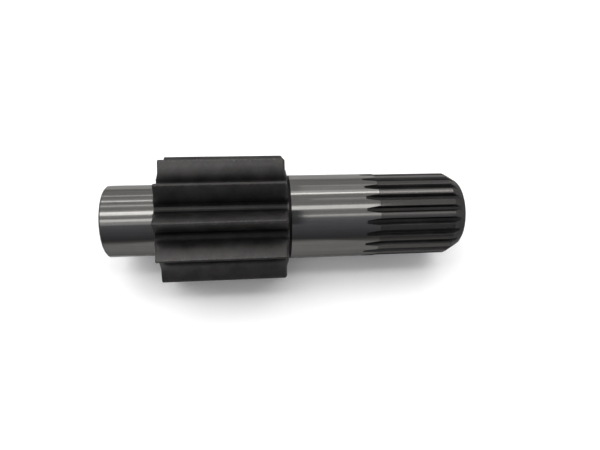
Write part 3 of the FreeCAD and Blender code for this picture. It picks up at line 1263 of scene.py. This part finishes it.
@dataclass
class Studio:
    """The pale floor, the lamps, the dark side of the room and the camera.

    The journals mirror three sheets that the camera doesn't see, which glow with painted shade as no lamp lights
    them: a cloth that hangs behind the camera, a board round the camera, and the paper on the table. The paper has
    a lighter painted shade near the shaft and is as dark as the cloth beyond the cloth's edge, with a soft border
    whose pairs give a reach from the edge and a share of the lighter shade. The cloth's edge has pairs of a place
    along the shaft and a distance before it.
    """

    floor_height: float = -43.43
    floor_size: float = 6000.0
    floor_colour: str = "#f4f4f4"
    floor_glow: float = 0.05
    room_level: float = 0.52
    lamps: tuple[StripLamp, ...] = (
        StripLamp("lamp_ceiling_back", 104.0, 26.0, 2.0, -1500.0, 700.0, mirrored=False),
        StripLamp("lamp_ceiling_middle", 84.5, 8.0, 2.6, -900.0, 700.0, mirrored=False),
        StripLamp("lamp_overhead_left", 84.3, 10.0, 2.2, -560.0, -80.0),
        StripLamp("lamp_overhead_right", 83.7, 10.0, 1.35, -80.0, 378.0),
        StripLamp("lamp_ceiling_right", 83.7, 10.0, 1.35, 378.0, 700.0, mirrored=False),
        StripLamp("glow_overhead_left", 84.3, 20.0, 0.2, -560.0, -80.0),
        StripLamp("lamp_front_left", 62.3, 7.5, 1.25, -560.0, -150.0),
        StripLamp("lamp_front_right", 61.8, 5.0, 0.7, 154.0, 700.0),
        StripLamp("glow_front_left", 52.5, 7.0, 0.4, -560.0, -150.0),
        StripLamp("lamp_back_left", 125.0, 3.2, 1.7, -600.0, -50.0),
        StripLamp("glow_back_left", 128.5, 7.0, 0.35, -600.0, -50.0),
        StripLamp("lamp_back_right", 123.8, 3.4, 3.0, -50.0, 700.0),
        StripLamp("glow_back_right", 129.0, 7.0, 0.5, -50.0, 700.0),
        StripLamp("lamp_high_left", 108.8, 2.5, 1.0, -560.0, -150.0),
        StripLamp("glow_high_left", 108.8, 8.0, 0.25, -560.0, -150.0),
        StripLamp("lamp_high_right", 106.3, 2.5, 0.5, 182.0, 700.0),
        StripLamp("lamp_low_left", 146.6, 3.0, 1.0, -560.0, -100.0),
        StripLamp("lamp_low_right", 149.5, 3.0, 0.5, 150.0, 700.0),
        StripLamp("glow_low_right", 137.5, 15.0, 0.15, 150.0, 700.0),
        StripLamp("lamp_over_teeth", 70.0, 14.0, 2.2, -195.0, -60.0),
    )
    paper_front: float = 31.0
    paper_shade: float = 0.5
    # The tint of the painted shade with which the cloth and the board glow.
    painted_shade_tint: str = "#f4f4ff"
    cloth_shade: float = 0.1
    cloth_top_shade: float = 0.38
    sheet_gap: float = 1.0
    board_shade: float = 0.108
    board_half_width: float = 150.0
    board_angles: tuple[float, float] = (40.0, 77.7)
    board_distance: float = 1000.0
    border: tuple[tuple[float, float], ...] = ((1.0, 1.0), (1.6, 0.5), (2.4, 0.2), (4.0, 0.06))
    cloth_edge: tuple[tuple[float, float], ...] = (
        (-3000.0, 150.0),
        (-120.0, 150.0),
        (-80.0, 240.0),
        (100.0, 262.0),
        (124.0, 290.0),
        (154.0, 140.0),
        (3000.0, 110.0),
    )
    cloth_distance: float = 1400.0
    cloth_top: float = 56.0
    camera_place: tuple[float, float, float] = (20.9196, -161.7667, 288.5008)
    camera_right: tuple[float, float, float] = (0.99477, -0.07141, 0.07298)
    camera_forward: tuple[float, float, float] = (0.09810, 0.47039, -0.87699)
    camera_lens: float = 27.438
    camera_sensor: float = 36.0
    camera_nearest: float = 10.0

    def build(self) -> None:
        """Adds everything that isn't part of the shaft."""
        self.make_floor()
        self.make_world()
        self.hang_cloth()
        self.hold_board()
        self.shade_paper()
        for lamp in self.lamps:
            lamp.place()
        self.make_camera()

    def make_floor(self) -> None:
        """Adds the floor of matt rolled paper, which has no gloss and spreads the light evenly.

        It keeps the shaft's shadow, and it is white to the camera and in reflections.
        """
        half = self.floor_size / 2.0 * MM
        height = self.floor_height * MM
        mesh = bpy.data.meshes.new("floor")
        corners = [(-half, -half, height), (half, -half, height), (half, half, height), (-half, half, height)]
        mesh.from_pydata(corners, [], [(0, 1, 2, 3)])
        floor = add_object("floor", mesh)
        material, tree = empty_material("white_seamless_paper")
        rays = add_node(tree, "ShaderNodeLightPath")
        seen = add_node(
            tree,
            "ShaderNodeMath",
            {"operation": "MAXIMUM"},
            {0: rays.outputs["Is Camera Ray"], 1: rays.outputs["Is Glossy Ray"]},
        )
        white = add_node(
            tree,
            "ShaderNodeMath",
            {"operation": "MAXIMUM"},
            {0: seen.outputs[0], 1: rays.outputs["Is Transmission Ray"]},
        )
        colour = add_node(
            tree,
            "ShaderNodeMix",
            {"data_type": "RGBA", MIX_A: linear_colour(self.floor_colour), MIX_B: linear_colour(WHITE)},
            {0: white.outputs[0]},
        )
        paper = add_node(tree, "ShaderNodeBsdfDiffuse", None, {"Color": colour.outputs[MIX_RESULT]})
        lift = add_node(tree, "ShaderNodeMath", {"operation": "MULTIPLY", 1: self.floor_glow}, {0: white.outputs[0]})
        glow = add_node(tree, "ShaderNodeEmission", {"Color": linear_colour(WHITE)}, {"Strength": lift.outputs[0]})
        both = add_node(tree, "ShaderNodeAddShader", None, {0: paper.outputs[0], 1: glow.outputs[0]})
        add_node(tree, "ShaderNodeOutputMaterial", None, {"Surface": both.outputs[0]})
        mesh.materials.append(material)

    def make_world(self) -> None:
        """Adds the pale room round the table."""
        world = bpy.data.worlds.new("room")
        world.use_nodes = True
        world.node_tree.nodes.clear()
        room = add_node(world.node_tree, "ShaderNodeBackground", {"Color": grey(self.room_level), "Strength": 1.0})
        add_node(world.node_tree, "ShaderNodeOutputWorld", None, {"Surface": room.outputs[0]})
        bpy.context.scene.world = world

    def hang_cloth(self) -> None:
        """Hangs the dark cloth behind the camera.

        It glows with a painted dark shade, as no lamp lights it, and is painted a little lighter towards its top.
        """
        low = self.floor_height + self.sheet_gap
        high = self.cloth_distance * math.tan(math.radians(self.cloth_top))
        half = -self.cloth_edge[0][0]
        material, tree = empty_material("cloth_painted_shade")
        place = add_node(tree, "ShaderNodeTexCoord")
        axes = add_node(tree, "ShaderNodeSeparateXYZ", None, {0: place.outputs["Object"]})
        # The painted shade grows lighter towards the cloth's top.
        level = add_node(
            tree,
            "ShaderNodeMapRange",
            span("From", (0.0, high * MM)) | span("To", (self.cloth_shade, self.cloth_top_shade)),
            {"Value": axes.outputs["Z"]},
        )
        glow = {"Color": linear_colour(self.painted_shade_tint)}
        cloth = add_node(tree, "ShaderNodeEmission", glow, {"Strength": level.outputs[0]})
        add_node(tree, "ShaderNodeOutputMaterial", None, {"Surface": cloth.outputs[0]})
        corners = [(x, -self.cloth_distance, height) for height in (low, high) for x in (-half, half)]
        self.add_sheet("cloth_hanging", corners, material)

    def hold_board(self) -> None:
        """Holds up the board through which the camera looks, which glows with a painted dark shade about as dark as the
        cloth's.
        """
        side = self.board_half_width
        corners = []
        for angle in self.board_angles:
            away = self.board_distance * math.cos(math.radians(angle))
            up = self.board_distance * math.sin(math.radians(angle))
            corners += [(-side, -away, up), (side, -away, up)]
        material, tree = empty_material("board_painted_shade")
        # The board glows with painted shade and shows in reflections alone.
        glow = {"Color": linear_colour(self.painted_shade_tint), "Strength": self.board_shade}
        board = add_node(tree, "ShaderNodeEmission", glow)
        add_node(tree, "ShaderNodeOutputMaterial", None, {"Surface": board.outputs[0]})
        self.make_mirrored_only(self.add_sheet("board_round_camera", corners, material))

    def shade_paper(self) -> None:
        """Lays the mirrored paper in strips that glow with the painted shade of each of their points, from the shaft
        outwards.
        """
        low = self.floor_height + self.sheet_gap
        reach_limit = self.cloth_distance - self.sheet_gap
        rows = [[(x, -self.paper_front, low) for x, _ in self.cloth_edge]]
        levels = [self.paper_shade]
        for reach, share in self.border:
            rows.append([(x, -min(y * reach, reach_limit), low) for x, y in self.cloth_edge])
            levels.append(self.cloth_shade + (self.paper_shade - self.cloth_shade) * share)
        rows.append([(x, -self.cloth_distance, low) for x, _ in self.cloth_edge])
        levels.append(self.cloth_shade)
        material, tree = empty_material("white_paper_in_shade")
        # The strips glow with painted shade, lighter near the shaft and as dark as the cloth beyond its edge.
        shade = add_node(tree, "ShaderNodeAttribute", {"attribute_name": "shade"})
        glow = add_node(tree, "ShaderNodeEmission", {"Color": linear_colour(WHITE)}, {"Strength": shade.outputs["Fac"]})
        add_node(tree, "ShaderNodeOutputMaterial", None, {"Surface": glow.outputs[0]})
        for index in range(len(rows) - 1):
            sheet = self.add_sheet(f"paper_in_shade_{index + 1}", rows[index] + rows[index + 1], material)
            values = [level for level in levels[index : index + 2] for _ in self.cloth_edge]
            sheet.data.attributes.new("shade", "FLOAT", "POINT").data.foreach_set("value", values)
            self.make_mirrored_only(sheet)

    @staticmethod
    def add_sheet(name: str, rows: list[tuple[float, float, float]], material: bpy.types.Material) -> bpy.types.Object:
        """Adds a sheet between two rows of points, which the camera doesn't see.

        Args:
            name: The object's name.
            rows: The first row's points and then the second row's.
            material: The sheet's material.

        Returns:
            The sheet.
        """
        count = len(rows) // 2
        mesh = bpy.data.meshes.new(name)
        faces = [(i, i + 1, count + i + 1, count + i) for i in range(count - 1)]
        mesh.from_pydata([tuple(value * MM for value in point) for point in rows], [], faces)
        mesh.materials.append(material)
        sheet = add_object(name, mesh)
        sheet.visible_camera = False
        return sheet

    @staticmethod
    def make_mirrored_only(sheet: bpy.types.Object) -> None:
        """Keeps a sheet out of the light and the shadows, so that it shows in reflections alone."""
        sheet.visible_diffuse = False
        sheet.visible_shadow = False

    def make_camera(self) -> None:
        """Adds the camera at the photograph's viewing angle."""
        data = bpy.data.cameras.new("camera")
        data.lens = self.camera_lens
        data.sensor_width = self.camera_sensor
        data.clip_start = self.camera_nearest * MM
        camera = add_object("camera", data)
        right = Vector(self.camera_right).normalized()
        backward = -Vector(self.camera_forward).normalized()
        up = backward.cross(right).normalized()
        turn = Matrix((up.cross(backward), up, backward)).transposed()
        camera.matrix_world = Matrix.Translation(Vector(self.camera_place) * MM) @ turn.to_4x4()
        bpy.context.scene.camera = camera


def main() -> None:
    """Builds the shaft and its studio."""
    logging.basicConfig(level=logging.INFO, format="%(message)s")
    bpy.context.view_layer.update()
    scene = bpy.context.scene
    scene.view_settings.view_transform = "Standard"
    shaft = PinionShaft().build()
    LOG.info("%s: %d faces", shaft.name, len(shaft.data.polygons))
    Studio().build()
    LOG.info("studio: floor, cloth, board, paper, lamps and camera")


if __name__ == "__main__":
    main()
